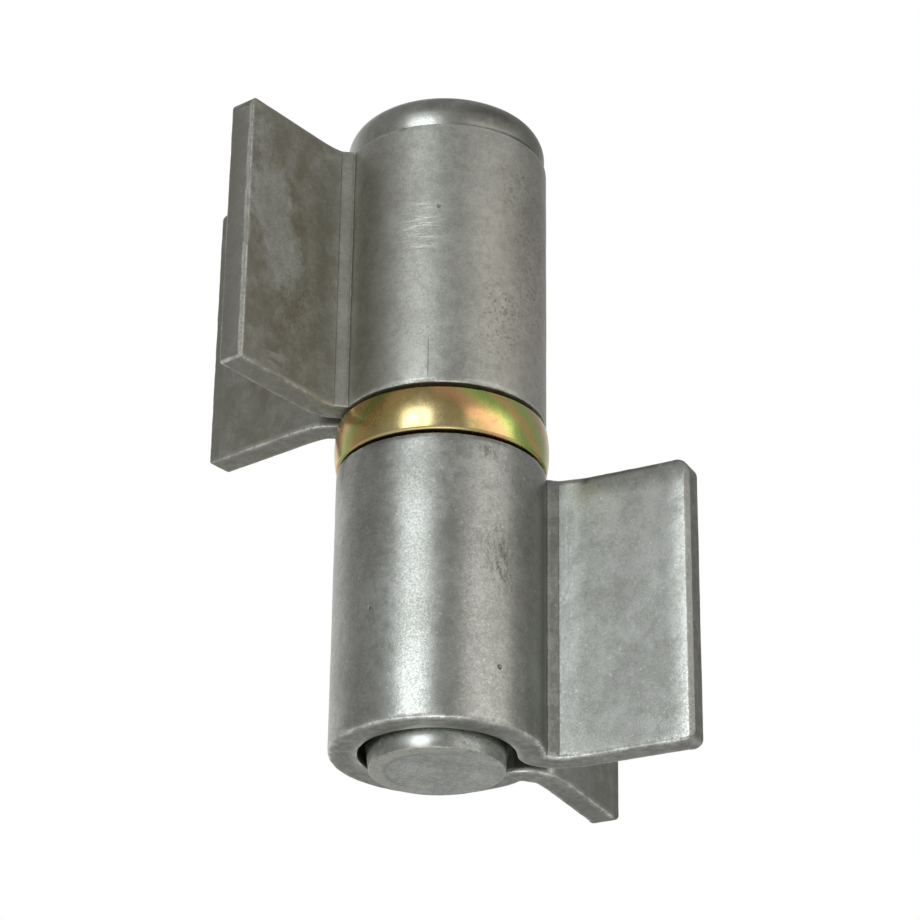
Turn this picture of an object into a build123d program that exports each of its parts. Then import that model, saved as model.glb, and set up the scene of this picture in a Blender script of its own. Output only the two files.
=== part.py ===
"""Weld-on gate hinge: two folded leaves, a headed pin and a thrust ball bearing between the barrels.

The pin's axis is Z, with Z up and zero at the middle of the bearing. The lower leaf's wings open
towards +X. All sizes are millimetres and degrees.
"""

import os
from math import asin, atan2, cos, degrees, floor, pi, radians, sin, sqrt

from build123d import *

# Folded strip of the leaves
plate = 4.2
leaf_height = 42.4
wing_length = 19.2
wing_half_angle = 45.0
neck_gap = 1.5
neck_radius = 1.6
wing_corner_radius = 1.8
edge_round = 0.6

# How far the upper leaf is turned from the lower one
leaf_turn = 168.0

# Pin
pin_diameter = 20.0
pin_play = 0.8
pin_projection = 2.1
pin_taper_length = 1.2
pin_taper_depth = 0.9
head_diameter = 29.4
head_land = 2.25
head_edge_radius = 4.0
head_crown_radius = 45.0
head_lower_round = 0.4
head_seat_gap = 0.05

# Thrust bearing
cover_height = 6.7
cover_sheet = 0.8
cover_swell = 0.35
cover_corner_radius = 0.5
gap_above_cover = 0.6
gap_below_cover = 0.35
ball_diameter = 3.5
ball_spacing = 0.25
groove_depth = 0.6
groove_play = 0.05
race_play = 0.3
race_boss_width = 2.2
race_running_gap = 0.1
race_seat_gap = 0.05

# Radii that follow from the pin and the plate
pin_radius = pin_diameter / 2
bore_radius = pin_radius + pin_play
barrel_radius = bore_radius + plate

# Levels along the pin
cover_top = cover_height / 2
cover_bottom = -cover_top
lower_leaf_top = cover_bottom - gap_below_cover
lower_leaf_bottom = lower_leaf_top - leaf_height
upper_leaf_bottom = cover_top + gap_above_cover
upper_leaf_top = upper_leaf_bottom + leaf_height
pin_end = lower_leaf_bottom - pin_projection
head_bottom = upper_leaf_top + head_seat_gap

# Bearing radii, from the pin outwards
race_bore_radius = pin_radius + race_play
race_outer_radius = barrel_radius - cover_sheet - race_play
race_boss_radius = race_bore_radius + race_boss_width
lip_radius = race_boss_radius + race_play
pitch_radius = (race_bore_radius + race_outer_radius) / 2
ball_radius = ball_diameter / 2
groove_radius = ball_radius + groove_play
race_face = ball_radius - groove_depth
ball_count = floor(2 * pi * pitch_radius / (ball_diameter + ball_spacing))


def moved(point, distance, angle):
    """A sketch point moved by a distance in a direction."""
    turn = radians(angle)
    return (point[0] + distance * cos(turn), point[1] + distance * sin(turn))


def folded_leaf(level, turn):
    """One strip: barrel, neck bends and two wings, standing at a level and turned about the pin."""
    bend_y = neck_gap / 2 + plate + neck_radius
    bend_x = sqrt((barrel_radius + neck_radius) ** 2 - bend_y**2)
    bend = (bend_x, bend_y)
    barrel_end = degrees(atan2(bend_y, bend_x))
    barrel_sweep = 180 - barrel_end
    bend_start = barrel_end + 180
    wing_side = wing_half_angle - 90
    bend_sweep = wing_side + 360 - bend_start
    outer_start = moved(bend, neck_radius, wing_side)
    inner_start = moved(bend, neck_radius + plate, wing_side)
    outer_end = moved(outer_start, wing_length, wing_half_angle)
    inner_end = moved(inner_start, wing_length, wing_half_angle)
    with BuildPart() as leaf:
        with BuildSketch(Plane.XY.offset(level).rotated((0, 0, turn))):
            with BuildLine():
                CenterArc((0, 0), barrel_radius, barrel_end, barrel_sweep)
                CenterArc((0, 0), bore_radius, barrel_end, barrel_sweep)
                CenterArc(bend, neck_radius, bend_start, bend_sweep)
                CenterArc(bend, neck_radius + plate, bend_start, bend_sweep)
                Polyline(outer_start, outer_end, inner_end, inner_start)
                mirror(about=Plane.XZ)
            make_face()
        extrude(amount=leaf_height)
        level_lines = leaf.edges().filter_by(GeomType.LINE).filter_by(Axis.Z, reverse=True)
        wing_corners = level_lines.group_by(SortBy.LENGTH)[0]
        fillet(wing_corners, wing_corner_radius)
        strip_edges = leaf.faces().filter_by(Axis.Z).edges().filter_by(GeomType.CIRCLE)
        fillet(strip_edges, edge_round)
    return leaf.part


def bearing_race(seat, flange_back, face):
    """A grooved washer whose boss stands on its seat and whose flange lies inside the cover."""
    with BuildPart() as race:
        with BuildSketch(Plane.XZ):
            with BuildLine():
                Polyline(
                    (race_bore_radius, seat),
                    (race_boss_radius, seat),
                    (race_boss_radius, flange_back),
                    (race_outer_radius, flange_back),
                    (race_outer_radius, face),
                    (race_bore_radius, face),
                    close=True,
                )
            make_face()
            with Locations((pitch_radius, 0)):
                Circle(groove_radius, mode=Mode.SUBTRACT)
        revolve(axis=Axis.Z)
    return race.part


lower_leaf = folded_leaf(lower_leaf_bottom, 0)
upper_leaf = folded_leaf(upper_leaf_bottom, leaf_turn)

# Dome of the pin's head: a round edge that runs into a flat crown
head_radius = head_diameter / 2
edge_centre = (head_radius - head_edge_radius, head_bottom + head_land)
crown_drop = head_crown_radius - head_edge_radius
crown_half_angle = degrees(asin(edge_centre[0] / crown_drop))
crown_centre = (0, edge_centre[1] - crown_drop * cos(radians(crown_half_angle)))
head_top = crown_centre[1] + head_crown_radius

with BuildPart() as hinge_pin:
    with BuildSketch(Plane.XZ) as pin_section:
        with BuildLine():
            CenterArc(edge_centre, head_edge_radius, 0, 90 - crown_half_angle)
            CenterArc(crown_centre, head_crown_radius, 90 - crown_half_angle, crown_half_angle)
            Polyline(
                (0, head_top),
                (0, pin_end),
                (pin_radius - pin_taper_depth, pin_end),
                (pin_radius, pin_end + pin_taper_length),
                (pin_radius, head_bottom),
                (head_radius, head_bottom),
                (head_radius, head_bottom + head_land),
            )
        make_face()
        head_rim = pin_section.vertices().group_by(Axis.X)[-1].sort_by(Axis.Y)[0]
        fillet(head_rim, head_lower_round)
    revolve(axis=Axis.Z)

# Pressed cover: a swelled wall with a lip turned in at the top and at the bottom
with BuildPart() as bearing_cover:
    with BuildSketch(Plane.XZ) as cover_section:
        with BuildLine():
            ThreePointArc(
                (barrel_radius, cover_bottom),
                (barrel_radius + cover_swell, 0),
                (barrel_radius, cover_top),
            )
            Polyline(
                (barrel_radius, cover_top),
                (0, cover_top),
                (0, cover_bottom),
                (barrel_radius, cover_bottom),
            )
        make_face()
        fillet(cover_section.vertices().group_by(Axis.X)[-1], cover_corner_radius)
        offset(amount=-cover_sheet, mode=Mode.SUBTRACT)
        Rectangle(2 * lip_radius, 2 * cover_height, mode=Mode.SUBTRACT)
    revolve(axis=Axis.Z)

lower_race = bearing_race(lower_leaf_top, cover_bottom + cover_sheet, -race_face)
upper_race = bearing_race(
    upper_leaf_bottom - race_seat_gap,
    cover_top - cover_sheet - race_running_gap,
    race_face,
)

with BuildPart() as bearing_balls:
    with PolarLocations(pitch_radius, ball_count):
        Sphere(ball_radius)

pieces = {
    "lower_leaf": lower_leaf,
    "upper_leaf": upper_leaf,
    "hinge_pin": hinge_pin.part,
    "bearing_cover": bearing_cover.part,
    "lower_race": lower_race,
    "upper_race": upper_race,
    "bearing_balls": bearing_balls.part,
}

os.makedirs("parts", exist_ok=True)
for name, piece in pieces.items():
    piece.label = name
    export_step(piece, f"parts/{name}.step")
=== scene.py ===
from math import asin, atan2, ceil, cos, degrees, pi, radians, sin, sqrt, tan

import bmesh
import bpy
from mathutils import Matrix, Vector


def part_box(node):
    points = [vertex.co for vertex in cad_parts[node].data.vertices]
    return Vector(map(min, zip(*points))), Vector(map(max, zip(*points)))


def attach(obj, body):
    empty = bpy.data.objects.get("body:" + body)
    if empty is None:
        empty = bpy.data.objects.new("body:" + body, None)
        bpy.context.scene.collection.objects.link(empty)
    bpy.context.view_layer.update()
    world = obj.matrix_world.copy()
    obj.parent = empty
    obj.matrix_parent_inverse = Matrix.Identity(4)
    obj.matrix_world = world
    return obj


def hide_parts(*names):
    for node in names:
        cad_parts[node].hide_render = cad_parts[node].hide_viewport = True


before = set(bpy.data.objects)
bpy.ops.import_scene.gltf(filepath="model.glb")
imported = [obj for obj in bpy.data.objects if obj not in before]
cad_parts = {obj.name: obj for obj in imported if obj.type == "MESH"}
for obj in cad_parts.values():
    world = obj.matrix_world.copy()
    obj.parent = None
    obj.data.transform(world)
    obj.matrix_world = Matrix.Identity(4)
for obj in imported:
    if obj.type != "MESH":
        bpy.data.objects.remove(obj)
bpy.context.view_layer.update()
mm = 0.001
hair = 0.01 * mm    # tolerance for picking points
mergeReach = 0.001 * mm    # points this close are one
print("frame loaded:", ", ".join(sorted(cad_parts)))


# Small helpers for modelling

def startFresh():
    bpy.ops.object.select_all(action="DESELECT")


def editMode(piece):
    bpy.context.view_layer.objects.active = piece
    bpy.ops.object.mode_set(mode="EDIT")
    bpy.ops.mesh.select_mode(type="VERT")


def objectMode():
    bpy.ops.object.mode_set(mode="OBJECT")


def pick(piece, test):
    mesh = bmesh.from_edit_mesh(piece.data)
    for vert in mesh.verts:
        vert.select = test(vert.co)
    mesh.select_flush_mode()
    bmesh.update_edit_mesh(piece.data)


def pickEdges(piece, test):
    bpy.ops.mesh.select_all(action="DESELECT")
    mesh = bmesh.from_edit_mesh(piece.data)
    for edge in mesh.edges:
        if test(edge):
            edge.select_set(True)
    bmesh.update_edit_mesh(piece.data)


def pushOut(step):
    bpy.ops.mesh.extrude_region_move(TRANSFORM_OT_translate={"value": step})


def sweep(turn, centre, steps):    # clockwise from above, as the spin operator counts
    bpy.ops.mesh.spin(steps=steps, angle=turn, center=centre, axis=(0, 0, 1))


def stretch(factors, centre):
    bpy.ops.transform.resize(value=factors, center_override=centre)


def stretchAlong(factors, centre, axes):    # axes are the columns of a matrix
    bpy.ops.transform.resize(
        value=factors, center_override=centre, orient_type="GLOBAL",
        orient_matrix=axes, orient_matrix_type="GLOBAL")


def turnUp(profile):    # carries the picked ring through (radius, level) pairs
    lastRadius, lastLevel = profile[0]
    for radius, level in profile[1:]:
        pushOut((0, 0, level - lastLevel))
        stretch((radius / lastRadius, radius / lastRadius, 1), (0, 0, level))
        lastRadius, lastLevel = radius, level


def arc(centre, radius, start, stop, steps):    # (radius, level) pairs, angles in degrees
    turns = [radians(start + (stop - start) * step / steps) for step in range(steps + 1)]
    return [(centre[0] + radius * cos(turn), centre[1] + radius * sin(turn)) for turn in turns]


def turnedPiece(name, profile, around, fill):
    radius, level = profile[0]
    startFresh()
    bpy.ops.mesh.primitive_circle_add(
        vertices=around, radius=radius, location=(0, 0, level), fill_type=fill)
    piece = bpy.context.object
    piece.name = name
    bpy.ops.object.transform_apply(location=True, rotation=True, scale=True)
    editMode(piece)
    bpy.ops.mesh.select_all(action="SELECT")
    turnUp(profile)
    return piece


def closeShell():
    bpy.ops.mesh.select_all(action="SELECT")
    bpy.ops.mesh.remove_doubles(threshold=mergeReach)
    bpy.ops.mesh.normals_make_consistent(inside=False)
    objectMode()


def roughen(piece, name, size, depth, group=""):
    texture = bpy.data.textures.new(name, "CLOUDS")
    texture.noise_scale = size
    texture.noise_depth = 3    # layers of finer clouds
    modifier = piece.modifiers.new(name, "DISPLACE")
    modifier.texture = texture
    modifier.texture_coords = "LOCAL"
    modifier.strength = depth
    modifier.mid_level = 1.0    # only inwards
    modifier.vertex_group = group
    bpy.context.view_layer.objects.active = piece
    bpy.ops.object.modifier_apply(modifier=modifier.name)


def finishPiece(piece, node, body, paint, smoothAngle):
    startFresh()
    piece.select_set(True)
    bpy.context.view_layer.objects.active = piece
    bpy.ops.object.transform_apply(location=True, rotation=True, scale=True)
    bpy.ops.object.shade_smooth_by_angle(angle=radians(smoothAngle))
    piece.data.materials.append(paint)
    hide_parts(node)
    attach(piece, body)
    print(piece.name, "made:", len(piece.data.polygons), "faces")


# Small helpers for materials

def addNode(tree, kind, inputs, **setup):
    made = tree.nodes.new(kind)
    for key, value in setup.items():
        setattr(made, key, value)
    for key, value in inputs.items():
        if isinstance(value, bpy.types.NodeSocket):
            tree.links.new(value, made.inputs[key])
        else:
            made.inputs[key].default_value = value
    return made


def newFinish(name):
    paint = bpy.data.materials.new(name)
    paint.use_nodes = True
    tree = paint.node_tree
    coords = addNode(tree, "ShaderNodeTexCoord", {}).outputs["Object"]
    return paint, tree, coords, tree.nodes["Principled BSDF"]


def calc(tree, operation, first, second=0.0):
    return addNode(tree, "ShaderNodeMath", {0: first, 1: second}, operation=operation).outputs[0]


def times(tree, first, second):
    return calc(tree, "MULTIPLY", first, second)


def plus(tree, total, value, factor):
    return calc(tree, "ADD", total, times(tree, value, factor))


def fade(tree, value, start, stop, low=0.0, high=1.0):
    made = addNode(
        tree, "ShaderNodeMapRange",
        {"Value": value, "From Min": start, "From Max": stop, "To Min": low, "To Max": high},
        interpolation_type="SMOOTHSTEP")
    return made.outputs[0]


def grain(tree, coords, size, detail, rough):
    made = addNode(
        tree, "ShaderNodeTexNoise",
        {"Vector": coords, "Scale": 1 / size, "Detail": detail, "Roughness": rough})
    return made.outputs[0]


def tint(tree, share, first, second):
    made = addNode(tree, "ShaderNodeMix", {0: share, 6: first, 7: second}, data_type="RGBA")
    return made.outputs[2]


def mark(tree, name):
    return addNode(tree, "ShaderNodeAttribute", {}, attribute_name=name).outputs["Fac"]


def spots(tree, coords, places, core=0.1):    # ellipsoids, full within the core and fading to their edge
    total = 0.0
    for centre, size, depth in places:
        offset = addNode(tree, "ShaderNodeVectorMath", {0: coords, 1: centre}, operation="SUBTRACT")
        shape = addNode(tree, "ShaderNodeVectorMath", {0: offset.outputs[0], 1: size}, operation="DIVIDE")
        reach = addNode(tree, "ShaderNodeVectorMath", {0: shape.outputs[0]}, operation="LENGTH")
        total = calc(tree, "MAXIMUM", fade(tree, reach.outputs["Value"], 1.0, core, 0.0, depth), total)
    return total


def fromAxis(tree, coords):    # distance from the pin's axis
    flat = addNode(tree, "ShaderNodeVectorMath", {0: coords, 1: (1, 1, 0)}, operation="MULTIPLY")
    reach = addNode(tree, "ShaderNodeVectorMath", {0: flat.outputs[0]}, operation="LENGTH")
    return reach.outputs["Value"]


def stretched(tree, coords, sizes, tilt=0.0):    # coordinates counted in these sizes, turned about Y
    scale = tuple(1 / size for size in sizes)
    return addNode(
        tree, "ShaderNodeMapping",
        {"Vector": coords, "Scale": scale, "Rotation": (0, radians(tilt), 0)}).outputs[0]


def bumped(tree, shader, height):    # height in millimetres
    bump = addNode(tree, "ShaderNodeBump", {"Height": height, "Distance": mm, "Strength": 1.0})
    tree.links.new(bump.outputs["Normal"], shader.inputs["Normal"])


def onBarrel(angle, level, radius=15):
    return (radius * mm * cos(radians(angle)), radius * mm * sin(radians(angle)), level * mm)


def millimetres(*sizes):
    return tuple(size * mm for size in sizes)


def patch(centre, size, depth=1.0):
    return centre, millimetres(*size), depth


# Raw rolled steel of the leaves

barrelRadius = -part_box("lower_leaf")[0][0]

lowerSteel = {
    "light": (0.47, 0.477, 0.445, 1),
    "dark": (0.315, 0.32, 0.292, 1),
    "stainAndShade": (0.20, 0.193, 0.16, 1),
    "rust": (0.13, 0.10, 0.06, 1),
    "darkening": (0.115, 0.117, 0.107, 1),
    "cut": (0.235, 0.235, 0.215, 1),
    "paleTone": (0.5, 0.49, 0.45, 1),
    "bareAndHighlight": (0.74, 0.75, 0.72, 1),
    "roughness": 0.33,
    "wear": 0.9,
    "glint": 0.6,
    "filmAndShade": 0.06,    # thin stain that lies everywhere
    "stainedAndShaded": [
        patch(onBarrel(-66, -24), (7, 7, 22), 0.3),
        # painted shade on the far wing's inner face
        patch(millimetres(25, 17, -30), (16, 16, 60)),
    ],
    "rubbedAndHighlight": [],
    "paled": [],
    "dulled": [
        patch(onBarrel(-115, -9), (10, 10, 10), 0.9),
        patch(onBarrel(-140, -30), (6, 6, 16), 0.5),
        patch(onBarrel(-121, -27), (7, 7, 16), 0.45),
    ],
    "drawn": [patch(millimetres(31, -15.2, -25), (4, 4, 200))],    # steel roughened over the shear's die
    "rusty": [patch(millimetres(21.1, -10.1, -40.5), (1.4, 1.4, 1.4))],
    # painted shade: in the neck, on the barrel beside it, and on the far wing's inner face
    "paintedShade": [
        patch(millimetres(15.1, -5.3, -25), (2.4, 2.4, 200)),
        patch(millimetres(12.8, -7.9, -25), (4.2, 4.2, 200), 0.6),
        patch(millimetres(20, 12, -46), (10, 10, 16), 0.6),
    ],
    "scuffed": [
        patch(onBarrel(-74, -21.5), (4.2, 4.2, 8.5)),
        patch(onBarrel(-84, -6), (3.6, 3.6, 1.8)),
        patch(onBarrel(-60, -9), (4, 4, 5)),
    ],
    "scraped": [],
    "pitted": [
        patch(onBarrel(-74.5, -37.7), (0.4, 0.4, 0.4)),
        patch(onBarrel(-147, -29), (0.3, 0.3, 0.4)),
    ],
}
upperSteel = {
    "light": (0.505, 0.508, 0.466, 1),
    "dark": (0.345, 0.346, 0.309, 1),
    "stainAndShade": (0.225, 0.208, 0.153, 1),
    "rust": (0.16, 0.135, 0.088, 1),
    "darkening": (0.13, 0.125, 0.10, 1),
    "cut": (0.26, 0.256, 0.222, 1),
    "paleTone": (0.62, 0.595, 0.535, 1),
    "bareAndHighlight": (0.62, 0.625, 0.595, 1),
    "roughness": 0.44,
    "wear": 1.0,
    "glint": 0.25,
    "filmAndShade": 0.10,
    "stainedAndShaded": [
        patch(onBarrel(-50, 25), (14, 14, 34), 0.4),
        patch(onBarrel(-162, 25), (7, 7, 60), 0.4),
        patch(millimetres(-26, -8, 25), (22, 20, 60), 0.9),
        patch(millimetres(-28, 12, 25), (22, 20, 60), 0.9),
    ],
    "rubbedAndHighlight": [
        patch(millimetres(-29, -9.6, 31), (7, 7, 9)),
        patch(millimetres(-26.6, -8.1, 23.5), (6.5, 6.5, 9), 0.9),
        patch(millimetres(-31, -10.9, 41), (4, 4, 8), 0.5),
    ],
    "paled": [
        patch(onBarrel(-78, 25), (9, 9, 26), 0.42),
        patch(onBarrel(-50, 16), (11, 11, 26), 0.55),
    ],
    "dulled": [patch(onBarrel(-118, 13), (8, 8, 8), 0.4)],
    "drawn": [],
    "rusty": [
        patch(onBarrel(-74, 15.5), (6, 6, 11)),
        patch(onBarrel(-48, 26), (8, 8, 20), 0.9),
        patch(onBarrel(-62, 38), (6, 6, 8), 0.9),
        patch(millimetres(-24, -6.5, 16), (8, 8, 16), 0.9),
    ],
    # painted shade in the throat between the wings
    "paintedShade": [patch(millimetres(-18.6, 3.9, 4), (4, 4, 6), 0.7)],
    "scuffed": [],
    "scraped": [
        patch(onBarrel(-121, 28.5), (5, 5, 7.5)),
        patch(millimetres(-27.5, -8.7, 7), (5, 5, 3.5), 0.8),
    ],
    "pitted": [
        patch(onBarrel(-111.5, 32.5), (0.35, 0.35, 0.5), 0.7),
        patch(onBarrel(-177, 37.8, 15.4), (0.7, 0.7, 0.4)),
        patch(onBarrel(-116, 8.2), (0.11, 0.11, 4.4), 0.4),    # a hairline crack
    ],
}
# in all finishes a grain is its size, detail and roughness,
# and a fade is where it starts and stops, with its values there
rolled = {
    "clouds": (8 * mm, 4.0, 0.55),
    "mottle": (1.5 * mm, 6.0, 0.7),
    "speck": (0.30 * mm, 2.0, 0.6),
    "cloudShare": 0.28,
    "mottleShare": 0.39,
    "speckShare": 0.33,
    "toneFade": (0.38, 0.62),
    "fleck": (0.55 * mm, 3.0, 0.6),
    "fleckFade": (0.62, 0.74, 0.0, 0.55),
    "fleckPlaces": (0.35, 0.65),
    "glint": (0.5 * mm, 3.0, 0.6),
    "glintFade": (0.62, 0.73, 0.0),
    "filmAndShade": (3.5 * mm, 6.0, 0.65),
    "filmAndShadeFade": (0.28, 0.64, 0.35, 1.0),
    "rubbedCore": 0.3,    # share of a patch that is full
    "rubbedMottle": 1.2,
    "rubbedFade": (0.75, 1.55),
    "paleFade": (0.30, 0.62, 0.45, 1.0),
    "dullFade": (0.36, 0.58, 0.3, 1.0),
    "rust": (0.5 * mm, 5.0, 0.65),
    "rustFade": (0.50, 0.66),
    "rustShare": 0.62,
    "scuff": (1.0, 7.0, 0.75),
    "scuffSize": millimetres(0.8, 0.8, 1.7),
    "scuffTilt": 38,
    "scuffFade": (0.48, 0.66),
    "scuffShare": 0.6,
    "scrape": (1.0, 4.0, 0.6),
    "scrapeSize": millimetres(6, 6, 0.9),
    "scrapeTilt": 4,
    "scrapeFade": (0.44, 0.64),
    "scrapeShare": 0.5,
    "tornFade": (0.36, 0.60, 0.25, 1.0),
    "boreRim": (11.3 * mm, 12.4 * mm, 0.35, 1.0),    # sheared faces are paler round the bore
    "pitCore": 0.5,
    "pitShare": 0.8,
    "shadeFade": (0.32, 0.62, 0.55, 1.0),
    "shadeAndPitShare": 0.85,
    "chips": (0.6 * mm, 4.0, 0.6),
    "chipFade": (0.32, 0.54, 0.2),
    "stretches": (3.5 * mm, 3.0, 0.6),
    "stretchFade": (0.40, 0.57, 0.2, 1.0),
    "drawnCore": 0.5,
    "roughFade": (0.3, 0.7),
    "rougher": 0.04,
    "smoother": 0.03,
    "filmAndShadeRough": 0.10,
    "dullRough": 0.16,
    "rustRough": 0.15,
    "wornRough": -0.06,
    "cutRough": 0.12,
    "drawnRough": 0.05,
    "mottleHeight": 0.008,    # heights in millimetres
    "speckHeight": 0.010,
    "chipHeight": 0.05,
    "drawnHeight": 0.05,
    "pitHeight": -0.10,
    "scuffHeight": -0.02,
    "scrapeHeight": -0.02,
}


def rawSteel(name, look):
    paint, tree, coords, shader = newFinish(name)
    clouds = grain(tree, coords, *rolled["clouds"])
    mottle = grain(tree, coords, *rolled["mottle"])
    speck = grain(tree, coords, *rolled["speck"])
    share = times(tree, clouds, rolled["cloudShare"])
    share = plus(tree, share, mottle, rolled["mottleShare"])
    share = plus(tree, share, speck, rolled["speckShare"])
    colour = tint(tree, fade(tree, share, *rolled["toneFade"]), look["dark"], look["light"])

    # dark flecks of mill scale
    fleck = fade(tree, grain(tree, coords, *rolled["fleck"]), *rolled["fleckFade"])
    fleck = times(tree, fleck, fade(tree, clouds, *rolled["fleckPlaces"]))
    colour = tint(tree, fleck, colour, look["stainAndShade"])

    # painted glints: small bright dots in the colour
    glint = fade(tree, grain(tree, coords, *rolled["glint"]), *rolled["glintFade"], look["glint"])
    colour = tint(tree, glint, colour, look["bareAndHighlight"])

    # oily stain film, rubbed off in places; some stained patches are painted shade
    rubbedAndHighlight = spots(tree, coords, look["rubbedAndHighlight"], rolled["rubbedCore"])
    rubbedAndHighlight = fade(tree, plus(tree, rubbedAndHighlight, mottle, rolled["rubbedMottle"]), *rolled["rubbedFade"])
    filmAndShade = calc(tree, "ADD", spots(tree, coords, look["stainedAndShaded"]), look["filmAndShade"])
    filmAndShade = times(tree, filmAndShade, fade(tree, grain(tree, coords, *rolled["filmAndShade"]), *rolled["filmAndShadeFade"]))
    filmAndShade = times(tree, filmAndShade, calc(tree, "SUBTRACT", 1.0, rubbedAndHighlight))
    colour = tint(tree, filmAndShade, colour, look["stainAndShade"])

    # paler patches, and dull places that break up the shine
    paleTone = times(tree, spots(tree, coords, look["paled"]), fade(tree, mottle, *rolled["paleFade"]))
    colour = tint(tree, paleTone, colour, look["paleTone"])
    dull = times(tree, spots(tree, coords, look["dulled"]), fade(tree, mottle, *rolled["dullFade"]))

    # rust in small grains
    rusty = fade(tree, grain(tree, coords, *rolled["rust"]), *rolled["rustFade"])
    rusty = times(tree, rusty, spots(tree, coords, look["rusty"]))
    colour = tint(tree, times(tree, rusty, rolled["rustShare"]), colour, look["rust"])

    # scuffs from handling
    dashes = stretched(tree, coords, rolled["scuffSize"], rolled["scuffTilt"])
    scuff = fade(tree, grain(tree, dashes, *rolled["scuff"]), *rolled["scuffFade"])
    scuff = times(tree, scuff, spots(tree, coords, look["scuffed"]))
    colour = tint(tree, times(tree, scuff, rolled["scuffShare"]), colour, look["rust"])

    # scratches along the strip
    lines = stretched(tree, coords, rolled["scrapeSize"], rolled["scrapeTilt"])
    scrape = fade(tree, grain(tree, lines, *rolled["scrape"]), *rolled["scrapeFade"])
    scrape = times(tree, scrape, spots(tree, coords, look["scraped"]))
    colour = tint(tree, times(tree, scrape, rolled["scrapeShare"]), colour, look["bareAndHighlight"])

    # dull sheared faces, pits, and painted shade in the creases, the neck and between the wings
    torn = fade(tree, mottle, *rolled["tornFade"])
    torn = times(tree, torn, fade(tree, fromAxis(tree, coords), *rolled["boreRim"]))
    cut = times(tree, mark(tree, "cutFace"), torn)
    colour = tint(tree, cut, colour, look["cut"])
    pit = spots(tree, coords, look["pitted"], rolled["pitCore"])
    shadeAndPits = calc(tree, "MAXIMUM", mark(tree, "creaseShade"), spots(tree, coords, look["paintedShade"]))
    shadeAndPits = times(tree, shadeAndPits, fade(tree, mottle, *rolled["shadeFade"]))
    shadeAndPits = calc(tree, "MAXIMUM", shadeAndPits, times(tree, pit, rolled["pitShare"]))
    colour = tint(tree, times(tree, shadeAndPits, rolled["shadeAndPitShare"]), colour, look["darkening"])

    # bright metal along worn edges
    chips = grain(tree, coords, *rolled["chips"])
    worn = times(tree, mark(tree, "edgeWear"), fade(tree, chips, *rolled["chipFade"], look["wear"]))
    stretches = grain(tree, coords, *rolled["stretches"])
    worn = times(tree, worn, fade(tree, stretches, *rolled["stretchFade"]))
    colour = tint(tree, worn, colour, look["bareAndHighlight"])
    tree.links.new(colour, shader.inputs["Base Color"])

    drawn = spots(tree, coords, look["drawn"], rolled["drawnCore"])
    roughest, smoothest = look["roughness"] + rolled["rougher"], look["roughness"] - rolled["smoother"]
    rough = fade(tree, speck, *rolled["roughFade"], roughest, smoothest)
    roughened = {"filmAndShade": filmAndShade, "dull": dull, "rust": rusty, "worn": worn, "cut": cut, "drawn": drawn}
    for key, layer in roughened.items():
        rough = plus(tree, rough, layer, rolled[key + "Rough"])
    tree.links.new(rough, shader.inputs["Roughness"])
    shader.inputs["Metallic"].default_value = 1.0

    height = times(tree, mottle, rolled["mottleHeight"])
    height = plus(tree, height, speck, rolled["speckHeight"])
    height = plus(tree, height, times(tree, chips, worn), rolled["chipHeight"])
    height = plus(tree, height, times(tree, mottle, drawn), rolled["drawnHeight"])
    for key, layer in {"pit": pit, "scuff": scuff, "scrape": scrape}.items():
        height = plus(tree, height, layer, rolled[key + "Height"])
    bumped(tree, shader, height)
    return paint


# Leaves: one strip rolled into a barrel, pinched at the neck and splayed into two wings

leaf = {
    "plate": 4.2 * mm,
    "creaseTurn": 72,
    "creaseRadius": 0.35 * mm,
    "creaseStep": 4,    # degrees
    "springSteps": 7,
    "flatSteps": 4,
    "wingAngle": 45,
    "wingReach": 34.43 * mm,    # from the pin's axis to the wing's end, along the wing
    "endLength": 4.0 * mm,
    "endSteps": 20,
    "endInset": 0.25 * mm,
    "stepLength": 0.6 * mm,
    "innerEdge": 0.35 * mm,
    "edgeSteps": 5,
    "faceCuts": 5,
    "ripple": 0.10 * mm,
    "rippleSize": 9 * mm,
    "bite": 0.14 * mm,
    "biteSize": 2.0 * mm,
    "wearFrom": 5,    # degrees between faces on a ridge
    "wearFull": 13,
    "shadeFrom": 1.5,    # degrees between faces in a crease, where shade is painted
    "shadeFull": 4,
    "cutFrom": 0.70,    # how squarely a sheared face looks out of the strip
    "cutFull": 0.97,
    "topFallReach": 4.0 * mm,
    "pickSlack": 1.01,
    "smoothAngle": 40,
}
plate = leaf["plate"]
# sheared wing ends: a face drawn over the die, one with a burr, and a plain cut edge
# a fullness of 1 is a straight facet, and 2 is round
drawnFace = {"length": 0.59 * mm, "depth": 0.85 * mm, "fullness": 1.0, "ease": 0.25 * mm}
burrFace = {"length": 0.35 * mm, "depth": 0.5 * mm, "fullness": 1.3, "ease": 0.0}
cutFace = {"length": 0.4 * mm, "depth": 0.4 * mm, "fullness": 2.0, "ease": 0.0}
lowerLeaf = {
    "turn": 0,
    "barrelStop": 21.06,    # degrees from the leaf's middle line, where the strip leaves the barrel
    "dieFlat": 1.4 * mm,    # flat that the forming die leaves in the neck
    # turns and radii of the last bend
    "springs": ((6, 5 * mm), (5, 9 * mm), (4, 18 * mm), (2, 40 * mm)),
    "bottomEdge": 0.5 * mm,
    "topEdge": 0.4 * mm,
    "bottomCorner": 1.5 * mm,
    "topCorner": 2.0 * mm,
    "endWear": 0.1,
    "outerFace": drawnFace,
    "innerFace": cutFace,
    "topFall": 0.35 * mm,    # how far the wing's face falls away towards its top edge
}
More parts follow.
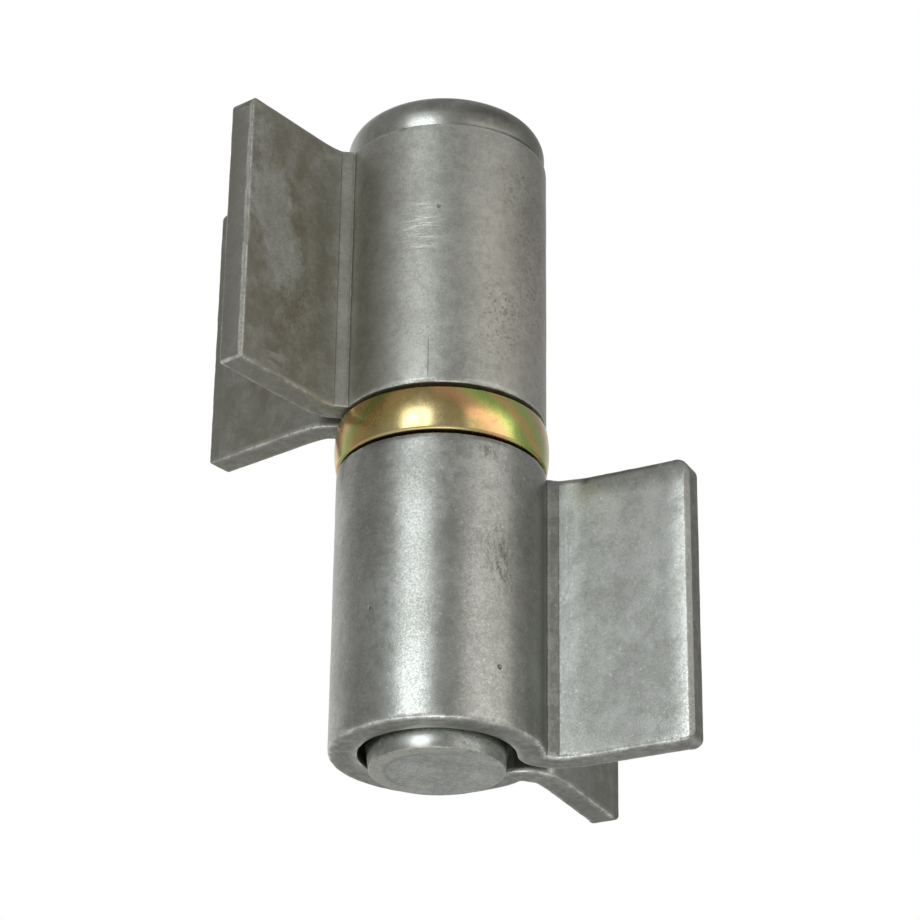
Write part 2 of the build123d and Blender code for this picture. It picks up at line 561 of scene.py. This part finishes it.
upperLeaf = {
    "turn": 168,
    "barrelStop": 21.68,
    "dieFlat": 1.6 * mm,
    "springs": ((6, 5 * mm), (5, 8 * mm), (4, 16 * mm), (3, 30 * mm)),
    "bottomEdge": 0.25 * mm,
    "topEdge": 0.15 * mm,
    "bottomCorner": 0.5 * mm,
    "topCorner": 1.2 * mm,
    "endWear": 1.0,
    "outerFace": burrFace,
    "innerFace": cutFace,
    "topFall": 0.05 * mm,
}


def stripSection(name, low, high, shape):
    middle = (plate / 2 - barrelRadius, 0, (low + high) / 2)
    startFresh()
    bpy.ops.mesh.primitive_plane_add(size=1, location=middle, rotation=(pi / 2, 0, 0))
    piece = bpy.context.object
    piece.name = name
    piece.scale = (plate, high - low, 1)
    bpy.ops.object.transform_apply(location=True, rotation=True, scale=True)
    editMode(piece)
    corners = (
        (shape["bottomEdge"], lambda co: co.x < middle[0] and co.z < low + hair),
        (shape["topEdge"], lambda co: co.x < middle[0] and co.z > high - hair),
        (leaf["innerEdge"], lambda co: co.x > plate - barrelRadius - hair),
    )
    for size, test in corners:
        pick(piece, test)
        bpy.ops.mesh.bevel(offset=size, segments=leaf["edgeSteps"], affect="VERTICES")
    pickEdges(piece, lambda edge: edge.calc_length() > (high - low) / 2)
    bpy.ops.mesh.subdivide(number_cuts=ceil((high - low) / leaf["stepLength"]))
    pickEdges(piece, lambda edge: edge.is_boundary and edge.calc_length() > plate / 2)
    bpy.ops.mesh.subdivide(number_cuts=leaf["faceCuts"])
    return piece


def onward(heading, side):
    return Vector((cos(radians(heading)), side * sin(radians(heading)), 0))


def outward(heading, side):    # towards the side of the outer face
    return Vector((-sin(radians(heading)), side * cos(radians(heading)), 0))


def sheared(face, toGo):    # how far a face has drawn in, with this much of the wing to go
    share = max(0.0, 1 - toGo / face["length"])
    fullness = face["fullness"]
    drawn = face["depth"] * (1 - max(0.0, 1 - share ** fullness) ** (1 / fullness))
    return drawn + face["ease"] * max(0.0, 1 - toGo / leaf["endLength"]) ** 3


def squeeze(was, now):    # factor and fixed place that carry one span onto the next
    factor = (now[1] - now[0]) / (was[1] - was[0])
    still = (now[0] - factor * was[0]) / (1 - factor) if factor < 1 else was[0]
    return factor, still


def rounded(radius, toGo):
    return sheared({"length": radius, "depth": radius, "fullness": 2.0, "ease": 0.0}, toGo)


def wingEnd(along, across, foot, levels, shape):
    axes = Matrix((along, across, (0, 0, 1))).transposed()
    lastRun, lastDeep, lastTall = 0, (0, plate), levels
    for step in range(1, leaf["endSteps"] + 1):
        run = leaf["endLength"] * sin(pi / 2 * step / leaf["endSteps"])
        toGo = leaf["endLength"] - run
        deep = (sheared(shape["innerFace"], toGo), plate - sheared(shape["outerFace"], toGo))
        bottom, top = rounded(shape["bottomCorner"], toGo), rounded(shape["topCorner"], toGo)
        tall = (levels[0] + bottom, levels[1] - top)
        thinner, stillDeep = squeeze(lastDeep, deep)
        shorter, stillTall = squeeze(lastTall, tall)
        centre = foot + across * stillDeep
        centre.z = stillTall
        pushOut(along * (run - lastRun))
        stretchAlong((1, thinner, shorter), centre, axes)
        lastRun, lastDeep, lastTall = run, deep, tall
    bpy.ops.mesh.inset(thickness=leaf["endInset"])


def easeTop(piece, along, across, place, top, shape):
    edge = shape["topEdge"] * leaf["pickSlack"]
    pick(piece, lambda co: (co.dot(along) > place.dot(along) and co.z > top - edge
                            and co.dot(across) > place.dot(across) - edge))
    bpy.ops.transform.translate(
        value=across * -shape["topFall"], use_proportional_edit=True, use_proportional_connected=True,
        proportional_edit_falloff="SHARP", proportional_size=leaf["topFallReach"])


def foldHalf(piece, side, levels, shape):
    stop = shape["barrelStop"]
    barrelSweep = radians(180 - stop)
    sweep(side * barrelSweep, (0, 0, 0), ceil(barrelSweep * barrelRadius / leaf["stepLength"]))
    place = onward(stop, side) * barrelRadius
    heading = stop - 90
    firstTurn, creaseRadius = leaf["creaseTurn"], leaf["creaseRadius"]
    springTurn = sum(turn for turn, radius in shape["springs"])
    secondTurn = leaf["wingAngle"] - heading - firstTurn - springTurn
    folds = [
        (firstTurn, creaseRadius, ceil(firstTurn / leaf["creaseStep"]), shape["dieFlat"]),
        (secondTurn, creaseRadius, ceil(secondTurn / leaf["creaseStep"]), 0),
    ]
    folds += [(turn, radius, leaf["springSteps"], 0) for turn, radius in shape["springs"]]
    for turn, radius, steps, flat in folds:
        centre = place + outward(heading, side) * radius
        sweep(-side * radians(turn), centre, steps)
        heading += turn
        place = centre - outward(heading, side) * radius + onward(heading, side) * flat
        if flat:
            for step in range(leaf["flatSteps"]):
                pushOut(onward(heading, side) * flat / leaf["flatSteps"])
    along, across = onward(heading, side), outward(heading, side)
    straight = leaf["wingReach"] - place.dot(along) - leaf["endLength"]
    wingSteps = ceil(straight / leaf["stepLength"])
    for step in range(wingSteps):
        pushOut(along * straight / wingSteps)
    wingEnd(along, across, place - across * plate, levels, shape)
    easeTop(piece, along, across, place, levels[1], shape)


def markEdges(piece, shape):
    shell = bmesh.new()
    shell.from_mesh(piece.data)
    wear, darkening, cut = ([0.0] * len(shell.verts) for layer in range(3))
    # ridges get wear, and creases get painted shade
    for edge in shell.edges:
        bend = degrees(edge.calc_face_angle_signed(0.0))    # positive on a ridge
        worn = (bend - leaf["wearFrom"]) / (leaf["wearFull"] - leaf["wearFrom"])
        creaseShading = (-bend - leaf["shadeFrom"]) / (leaf["shadeFull"] - leaf["shadeFrom"])
        for vert in edge.verts:
            wear[vert.index] = max(wear[vert.index], min(1.0, worn))
            darkening[vert.index] = max(darkening[vert.index], min(1.0, creaseShading))
    for vert in shell.verts:
        square = abs(vert.normal.z)
        if (vert.co.x + abs(vert.co.y)) / sqrt(2) > leaf["wingReach"] - leaf["endLength"] / 2:
            square = max(square, (vert.normal.x + abs(vert.normal.y)) / sqrt(2))
            wear[vert.index] *= shape["endWear"]
        share = (square - leaf["cutFrom"]) / (leaf["cutFull"] - leaf["cutFrom"])
        cut[vert.index] = max(0.0, min(1.0, share))
    shell.free()
    rims = piece.vertex_groups.new(name="rims")
    for index, share in enumerate(wear):
        if share > 0:
            rims.add([index], share, "REPLACE")
    for name, values in (("edgeWear", wear), ("creaseShade", darkening), ("cutFace", cut)):
        layer = piece.data.attributes.new(name, "FLOAT", "POINT")
        layer.data.foreach_set("value", values)


def foldedLeaf(name, node, body, shape, paint):
    low, high = (corner[2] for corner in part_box(node))
    piece = stripSection(name, low, high, shape)
    bpy.ops.mesh.select_all(action="SELECT")
    foldHalf(piece, 1, (low, high), shape)
    pick(piece, lambda co: abs(co.y) < mergeReach and co.x < 0)
    foldHalf(piece, -1, (low, high), shape)
    closeShell()
    markEdges(piece, shape)
    roughen(piece, name + "Ripple", leaf["rippleSize"], leaf["ripple"])
    roughen(piece, name + "Bites", leaf["biteSize"], leaf["bite"], "rims")
    piece.rotation_euler.z = radians(shape["turn"])
    finishPiece(piece, node, body, paint, leaf["smoothAngle"])


foldedLeaf("lowerLeafStrip", "lower_leaf", "post_side", lowerLeaf, rawSteel("lowerLeafSteel", lowerSteel))
foldedLeaf("upperLeafStrip", "upper_leaf", "gate_side", upperLeaf, rawSteel("upperLeafSteel", upperSteel))


# Pin: a turned shank with a domed head

pin = {
    "radius": 10 * mm,
    "faceRadius": 9.2 * mm,
    "faceEdge": 0.25 * mm,
    "endTaper": 7,    # degrees
    "taperLength": 1.7 * mm,
    "headGap": 0.05 * mm,    # between the head and the upper barrel
    "headLand": 2.25 * mm,
    "headEdge": 4.0 * mm,
    "headCrown": 45 * mm,
    "headTuck": 11,    # degrees that the land leans in at its foot
    "headTuckRadius": 11.5 * mm,
    "crownStop": 89.5,    # degrees, just short of the top
    "faceSteps": 5,
    "tuckSteps": 6,
    "edgeSteps": 18,
    "crownSteps": 14,
    "around": 192,
    "smoothAngle": 30,
    "ripple": 0.08 * mm,
    "rippleSize": 8 * mm,
    "headLight": (0.46, 0.463, 0.43, 1),
    "headDark": (0.33, 0.332, 0.302, 1),
    "endLight": (0.50, 0.52, 0.49, 1),
    "endDark": (0.285, 0.305, 0.28, 1),
    "fleck": (0.20, 0.20, 0.17, 1),
    "faceRing": (0.47, 0.455, 0.405, 1),
    "stainAndShade": (0.12, 0.117, 0.10, 1),
    "bareAndHighlight": (0.80, 0.81, 0.79, 1),
    # painted highlight on the end's wall
    "rubbedAndHighlight": [patch(onBarrel(-124, -46.8, 10), (4.5, 4.5, 1.2))],
    "turned": [patch(onBarrel(-170, -48, 9), (19, 19, 19))],
    "stainedAndShaded": [
        # painted shade: the head's right side, partly its own dark patina, and a patch over a highlight
        # of the fill box
        patch(onBarrel(-45, 51), (10, 10, 9), 0.5),
        patch(onBarrel(-80, 48.6), (7, 7, 3), 0.8),
        patch(onBarrel(-62, 46.6), (14, 14, 0.6)),    # painted shadow in the seam above the barrel
    ],
    "softCore": 0.3,    # share of a patch that is full
    "headLevels": (-20 * mm, 20 * mm),    # from the end's colours to the head's
    "clouds": (5 * mm, 5.0, 0.6),
    "mottle": (1.2 * mm, 6.0, 0.7),
    "speck": (0.3 * mm, 2.0, 0.5),
    "cloudShare": 0.4,
    "mottleShare": 0.35,
    "speckShare": 0.25,
    "toneFade": (0.38, 0.62),
    "flecks": (0.7 * mm, 3.0, 0.6),
    "fleckFade": (0.60, 0.74, 0.0, 0.5),
    "turnedFade": (0.38, 0.6, 0.25, 1.0),
    "faceLevels": (-46.8 * mm, -47.6 * mm),    # where the end face begins
    "ringWander": 1.2 * mm,    # radii of the turned ring and its groove
    "ringFade": (6.9 * mm, 7.4 * mm),
    "ringShare": 0.9,
    "grooveFrom": (6.6 * mm, 7.1 * mm),
    "grooveTo": (7.1 * mm, 7.6 * mm),
    "grooveShare": 0.7,
    "stainFade": (0.3, 0.6, 0.6, 1.0),
    "roughness": 0.31,
    "speckRough": 0.2,
    "stainRough": 0.12,
    "mottleHeight": 0.004,    # heights in millimetres
    "speckHeight": 0.0015,
    "grooveHeight": -0.03,
}


def pinSteel():
    paint, tree, coords, shader = newFinish("pinSteel")
    level = addNode(tree, "ShaderNodeSeparateXYZ", {0: coords}).outputs["Z"]
    atHead = fade(tree, level, *pin["headLevels"])
    clouds = grain(tree, coords, *pin["clouds"])
    mottle = grain(tree, coords, *pin["mottle"])
    speck = grain(tree, coords, *pin["speck"])
    share = times(tree, clouds, pin["cloudShare"])
    share = plus(tree, share, mottle, pin["mottleShare"])
    share = plus(tree, share, speck, pin["speckShare"])
    light = tint(tree, atHead, pin["endLight"], pin["headLight"])
    dark = tint(tree, atHead, pin["endDark"], pin["headDark"])
    colour = tint(tree, fade(tree, share, *pin["toneFade"]), dark, light)
    fleck = fade(tree, grain(tree, coords, *pin["flecks"]), *pin["fleckFade"])
    colour = tint(tree, fleck, colour, pin["fleck"])

    # ring turned on the end face, clear on one side only
    reach = plus(tree, fromAxis(tree, coords), calc(tree, "SUBTRACT", clouds, 0.5), pin["ringWander"])
    turned = spots(tree, coords, pin["turned"], pin["softCore"])
    turned = times(tree, turned, fade(tree, mottle, *pin["turnedFade"]))
    turned = times(tree, turned, fade(tree, level, *pin["faceLevels"]))
    ring = times(tree, fade(tree, reach, *pin["ringFade"]), turned)
    colour = tint(tree, times(tree, ring, pin["ringShare"]), colour, pin["faceRing"])
    inside = fade(tree, reach, *pin["grooveFrom"])
    groove = calc(tree, "SUBTRACT", inside, fade(tree, reach, *pin["grooveTo"]))
    groove = times(tree, groove, turned)
    colour = tint(tree, times(tree, groove, pin["grooveShare"]), colour, pin["fleck"])

    # stains and painted shade on the head, and a painted highlight on the end
    stainAndShade = spots(tree, coords, pin["stainedAndShaded"], pin["softCore"])
    stainAndShade = times(tree, stainAndShade, fade(tree, mottle, *pin["stainFade"]))
    colour = tint(tree, stainAndShade, colour, pin["stainAndShade"])
    colour = tint(tree, spots(tree, coords, pin["rubbedAndHighlight"], pin["softCore"]), colour, pin["bareAndHighlight"])
    tree.links.new(colour, shader.inputs["Base Color"])

    rough = plus(tree, pin["roughness"], calc(tree, "SUBTRACT", 0.5, speck), pin["speckRough"])
    rough = plus(tree, rough, stainAndShade, pin["stainRough"])
    tree.links.new(rough, shader.inputs["Roughness"])
    shader.inputs["Metallic"].default_value = 1.0
    height = times(tree, mottle, pin["mottleHeight"])
    height = plus(tree, height, speck, pin["speckHeight"])
    height = plus(tree, height, groove, pin["grooveHeight"])
    bumped(tree, shader, height)
    return paint


def headedPin():
    low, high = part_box("hinge_pin")
    headRadius = high[0]
    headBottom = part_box("upper_leaf")[1][2] + pin["headGap"]
    edgeCentre = (headRadius - pin["headEdge"], headBottom + pin["headLand"])
    crownDrop = pin["headCrown"] - pin["headEdge"]
    crownTurn = degrees(asin(edgeCentre[0] / crownDrop))
    crownCentre = (0, edgeCentre[1] - crownDrop * cos(radians(crownTurn)))
    tuck, tuckRadius = pin["headTuck"], pin["headTuckRadius"]
    tuckCentre = (headRadius - tuckRadius, headBottom + tuckRadius * sin(radians(tuck)))
    faceCentre = (pin["faceRadius"], low[2] + pin["faceEdge"])
    profile = arc(faceCentre, pin["faceEdge"], -90, -pin["endTaper"], pin["faceSteps"])
    radius, level = profile[-1]
    spread = tan(radians(pin["endTaper"]))
    profile += [
        (radius + pin["taperLength"] * spread, level + pin["taperLength"]),
        (pin["radius"], level + 2 * pin["taperLength"]),
        (pin["radius"], headBottom),
    ]
    crownStart = 90 - crownTurn
    profile += arc(tuckCentre, tuckRadius, -tuck, 0, pin["tuckSteps"])
    profile += arc(edgeCentre, pin["headEdge"], 0, crownStart, pin["edgeSteps"])
    profile += arc(crownCentre, pin["headCrown"], crownStart, pin["crownStop"], pin["crownSteps"])[1:]
    piece = turnedPiece("headedPin", profile, pin["around"], "NGON")
    bpy.ops.mesh.merge(type="CENTER")
    closeShell()
    roughen(piece, "pinRipple", pin["rippleSize"], pin["ripple"])
    finishPiece(piece, "hinge_pin", "pin", pinSteel(), pin["smoothAngle"])


headedPin()


# Bearing case: pressed sheet, yellow passivated

case = {
    "sheet": 0.8 * mm,
    "swell": 0.35 * mm,
    "corner": 0.5 * mm,
    "lipRadius": 12.8 * mm,
    "around": 192,
    "wallSteps": 10,
    "cornerSteps": 6,
    "smoothAngle": 40,
    "filmMiddle": 60,    # degrees about the pin from -X, where the bands change their lean
    "filmSlope": 5.0,    # degrees that the bands lean for each millimetre of height
    "filmWander": 24,    # degrees
    "wander": (5 * mm, 3.0, 0.5),
    "mottle": (0.9 * mm, 5.0, 0.65),
    "streaks": (0.4 * mm, 4.0, 0.7),
    "streakSizes": (1, 1, 1 / 0.15),    # streaks run along the pin
    "mottleShare": 0.6,
    "streakShare": 0.4,
    "smear": (0.36, 0.26, 0.09, 1),
    "smearFade": (0.46, 0.66, 0.0, 0.3),
    "roughness": 0.24,
    "roughFade": (0.3, 0.7),
    "smoother": 0.03,
    "rougher": 0.06,
    "coat": 0.4,
    "mottleHeight": 0.006,    # millimetres
}
# colour bands of the passivated film, by degrees about the pin from -X
filmBands = [
    (-180, (0.43, 0.57, 0.16, 1)),
    (-140, (0.76, 0.43, 0.20, 1)),
    (-95, (0.40, 0.57, 0.15, 1)),
    (-50, (0.74, 0.48, 0.20, 1)),
    (-20, (0.42, 0.56, 0.15, 1)),
    (6, (0.84, 0.46, 0.18, 1)),
    (20, (0.38, 0.47, 0.12, 1)),
    (33, (0.60, 0.38, 0.13, 1)),
    (46, (0.46, 0.36, 0.13, 1)),
    (62, (0.56, 0.45, 0.22, 1)),
    (76, (0.46, 0.35, 0.13, 1)),
    (86, (0.78, 0.42, 0.19, 1)),
    (94, (0.80, 0.52, 0.22, 1)),
    (101, (0.64, 0.66, 0.17, 1)),
    (111, (0.42, 0.60, 0.15, 1)),
    (121, (0.82, 0.50, 0.19, 1)),
    (132, (0.44, 0.60, 0.16, 1)),
    (148, (0.70, 0.46, 0.28, 1)),
    (180, (0.43, 0.57, 0.16, 1)),
]


def yellowZinc():
    paint, tree, coords, shader = newFinish("yellowZinc")
    backwards = addNode(tree, "ShaderNodeVectorMath", {0: coords, 1: (-1, -1, 1)}, operation="MULTIPLY")
    parts = addNode(tree, "ShaderNodeSeparateXYZ", {0: backwards.outputs[0]}).outputs
    angle = calc(tree, "ARCTAN2", parts["Y"], parts["X"])
    side = calc(tree, "SIGN", calc(tree, "SUBTRACT", angle, radians(case["filmMiddle"])))
    lean = times(tree, side, parts["Z"])
    angle = plus(tree, angle, lean, radians(case["filmSlope"]) / mm)
    wander = calc(tree, "SUBTRACT", grain(tree, coords, *case["wander"]), 0.5)
    angle = plus(tree, angle, wander, radians(case["filmWander"]))
    ramp = addNode(tree, "ShaderNodeValToRGB", {"Fac": plus(tree, 0.5, angle, 0.5 / pi)})
    stops = ramp.color_ramp.elements
    stops[0].position, stops[0].color = 0.0, filmBands[0][1]
    stops[1].position, stops[1].color = 1.0, filmBands[-1][1]
    for turn, colour in filmBands[1:-1]:
        stops.new(0.5 + turn / 360).color = colour
    mottle = grain(tree, coords, *case["mottle"])
    streaks = grain(tree, stretched(tree, coords, case["streakSizes"]), *case["streaks"])
    smear = plus(tree, times(tree, mottle, case["mottleShare"]), streaks, case["streakShare"])
    colour = tint(tree, fade(tree, smear, *case["smearFade"]), ramp.outputs["Color"], case["smear"])
    tree.links.new(colour, shader.inputs["Base Color"])
    smoothest, roughest = case["roughness"] - case["smoother"], case["roughness"] + case["rougher"]
    rough = fade(tree, mottle, *case["roughFade"], smoothest, roughest)
    tree.links.new(rough, shader.inputs["Roughness"])
    shader.inputs["Metallic"].default_value = 1.0
    shader.inputs["Coat Weight"].default_value = case["coat"]
    shader.inputs["Coat Roughness"].default_value = case["roughness"]
    bumped(tree, shader, times(tree, mottle, case["mottleHeight"]))
    return paint


def bearingCase():
    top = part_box("bearing_cover")[1][2]
    sheet, corner = case["sheet"], case["corner"]
    wallRadius = (top ** 2 + case["swell"] ** 2) / (2 * case["swell"])
    wallCentre = barrelRadius + case["swell"] - wallRadius
    cornerLevel = top - corner
    cornerReach = sqrt((wallRadius - corner) ** 2 - cornerLevel ** 2)
    cornerTurn = degrees(atan2(cornerLevel, cornerReach))
    cornerCentre = wallCentre + cornerReach
    innerWall = cornerCentre + corner - sheet
    profile = [(case["lipRadius"], -top)]
    profile += arc((cornerCentre, -cornerLevel), corner, -90, -cornerTurn, case["cornerSteps"])
    profile += arc((wallCentre, 0), wallRadius, -cornerTurn, cornerTurn, case["wallSteps"])[1:-1]
    profile += arc((cornerCentre, cornerLevel), corner, cornerTurn, 90, case["cornerSteps"])
    profile += [
        (case["lipRadius"], top),
        (case["lipRadius"], top - sheet),
        (innerWall, top - sheet),
        (innerWall, sheet - top),
        (case["lipRadius"], sheet - top),
        (case["lipRadius"], -top),
    ]
    piece = turnedPiece("bearingCase", profile, case["around"], "NOTHING")
    closeShell()
    finishPiece(piece, "bearing_cover", "post_side", yellowZinc(), case["smoothAngle"])


bearingCase()


# Races and balls keep their solids and get ground and polished steel

ground = {
    "lathe": (0.8 * mm, 3.0, 0.6),
    "latheSizes": (1, 1, 1 / 12),    # fine rings round the pin
    "latheHeight": 0.004,    # millimetres
    "smear": (2.5 * mm, 4.0, 0.6),
    "smearFade": (0.4, 0.7),
    "roughFade": (0.3, 0.7),
    "rougher": 0.12,
}
raceLook = {
    "light": (0.30, 0.29, 0.27, 1),
    "dark": (0.14, 0.12, 0.09, 1),
    "roughness": 0.30,
    "nodes": ("lower_race", "upper_race"),
}
ballLook = {
    "light": (0.62, 0.62, 0.62, 1),
    "dark": (0.45, 0.44, 0.40, 1),
    "roughness": 0.12,
    "nodes": ("bearing_balls",),
}


def groundSteel(name, look):
    paint, tree, coords, shader = newFinish(name)
    lathe = grain(tree, stretched(tree, coords, ground["latheSizes"]), *ground["lathe"])
    smear = grain(tree, coords, *ground["smear"])
    colour = tint(tree, fade(tree, smear, *ground["smearFade"]), look["light"], look["dark"])
    tree.links.new(colour, shader.inputs["Base Color"])
    smooth = look["roughness"]
    rough = fade(tree, smear, *ground["roughFade"], smooth, smooth + ground["rougher"])
    tree.links.new(rough, shader.inputs["Roughness"])
    shader.inputs["Metallic"].default_value = 1.0
    bumped(tree, shader, times(tree, lathe, ground["latheHeight"]))
    for node in look["nodes"]:
        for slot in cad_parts[node].material_slots:
            slot.material = paint


groundSteel("greasedRaceSteel", raceLook)
groundSteel("polishedBallSteel", ballLook)
print("races and balls finished")


# Stage: a pale floor well below the hinge, a white backdrop and three soft boxes

stage = {
    "floorLevel": -290 * mm,
    "floorSize": 8.0,
    "floorColour": (0.8, 0.8, 0.79, 1),
    "floorRoughness": 0.9,
    "roomLevel": 0.34,    # dim room on the camera's side
    "bounceLevel": 0.5,    # share of the backdrop's white that lights the floor
    "backdropFrom": 0.38,    # cosine between a direction and the middle of the backdrop
    "backdropFull": 0.95,
    "backdropTurn": 16,    # degrees from straight behind the hinge
    "backdropLevel": 0.85,
}
view = {
    "azimuth": -18.226,    # degrees
    "tilt": 26.234,    # looking up from below
    "roll": 0.728,
    "distance": 440.98 * mm,
    "aside": 2.61 * mm,
    "above": -0.75 * mm,
    "lens": 120.76,
    "sensor": 36,
}
# side and lift are degrees round the hinge from the camera, and lengths are metres
softBoxes = {
    "keyBox": {"side": -26, "lift": 12, "distance": 0.9, "width": 0.44, "height": 0.4,
               "radiance": 4.6, "colour": (0.91, 0.955, 1.0)},
    "fillBox": {"side": 52, "lift": 12, "distance": 0.9, "width": 0.85, "height": 0.5,
                "radiance": 1.2, "colour": (1.0, 0.975, 0.94)},
    "lowBox": {"side": -14, "lift": -60, "distance": 0.3, "width": 0.22, "height": 0.12,
               "radiance": 1.6, "colour": (1.0, 1.0, 1.0)},
}

bpy.context.scene.view_settings.view_transform = "Standard"
startFresh()
bpy.ops.mesh.primitive_plane_add(size=stage["floorSize"], location=(0, 0, stage["floorLevel"]))
floor = bpy.context.object
floor.name = "floor"
floorPaint = bpy.data.materials.new("paleFloor")
floorPaint.use_nodes = True
floorShader = floorPaint.node_tree.nodes["Principled BSDF"]
floorShader.inputs["Base Color"].default_value = stage["floorColour"]
floorShader.inputs["Roughness"].default_value = stage["floorRoughness"]
floor.data.materials.append(floorPaint)

world = bpy.data.worlds.new("studio")
bpy.context.scene.world = world
world.use_nodes = True
sky = world.node_tree
backTurn = radians(view["azimuth"] + stage["backdropTurn"])
away = Vector((-sin(backTurn), cos(backTurn), 0))
direction = addNode(sky, "ShaderNodeTexCoord", {}).outputs["Generated"]
facing = addNode(sky, "ShaderNodeVectorMath", {0: direction, 1: away}, operation="DOT_PRODUCT")
backdrop = fade(sky, facing.outputs["Value"], stage["backdropFrom"], stage["backdropFull"])
rays = addNode(sky, "ShaderNodeLightPath", {}).outputs
white = calc(sky, "MAXIMUM", rays["Is Camera Ray"], rays["Is Transmission Ray"])
mirrored = times(sky, rays["Is Glossy Ray"], stage["backdropLevel"])
white = calc(sky, "MAXIMUM", white, times(sky, mirrored, backdrop))
white = calc(sky, "MAXIMUM", white, times(sky, rays["Is Diffuse Ray"], stage["bounceLevel"]))
level = calc(sky, "ADD", stage["roomLevel"], times(sky, white, 1 - stage["roomLevel"]))
sky.links.new(level, sky.nodes["Background"].inputs["Color"])

turn = Matrix.Rotation(radians(view["azimuth"]), 4, "Z")
aim = turn @ Matrix.Rotation(radians(90 + view["tilt"]), 4, "X")
aim = aim @ Matrix.Rotation(radians(view["roll"]), 4, "Z")
startFresh()
bpy.ops.object.camera_add()
camera = bpy.context.object
camera.matrix_world = aim @ Matrix.Translation((view["aside"], view["above"], view["distance"]))
camera.data.lens = view["lens"]
camera.data.sensor_width = view["sensor"]
bpy.context.scene.camera = camera

for name, box in softBoxes.items():
    startFresh()
    bpy.ops.object.light_add(type="AREA")
    lamp = bpy.context.object
    lamp.name = name
    facingTurn = Matrix.Rotation(radians(view["azimuth"] + box["side"]), 4, "Z")
    facingTurn = facingTurn @ Matrix.Rotation(radians(90 - box["lift"]), 4, "X")
    lamp.matrix_world = facingTurn @ Matrix.Translation((0, 0, box["distance"]))
    lamp.data.shape = "RECTANGLE"
    lamp.data.size = box["width"]
    lamp.data.size_y = box["height"]
    lamp.data.energy = box["radiance"] * pi * box["width"] * box["height"]
    lamp.data.color = box["colour"]
    lamp.visible_camera = False
print("stage set")
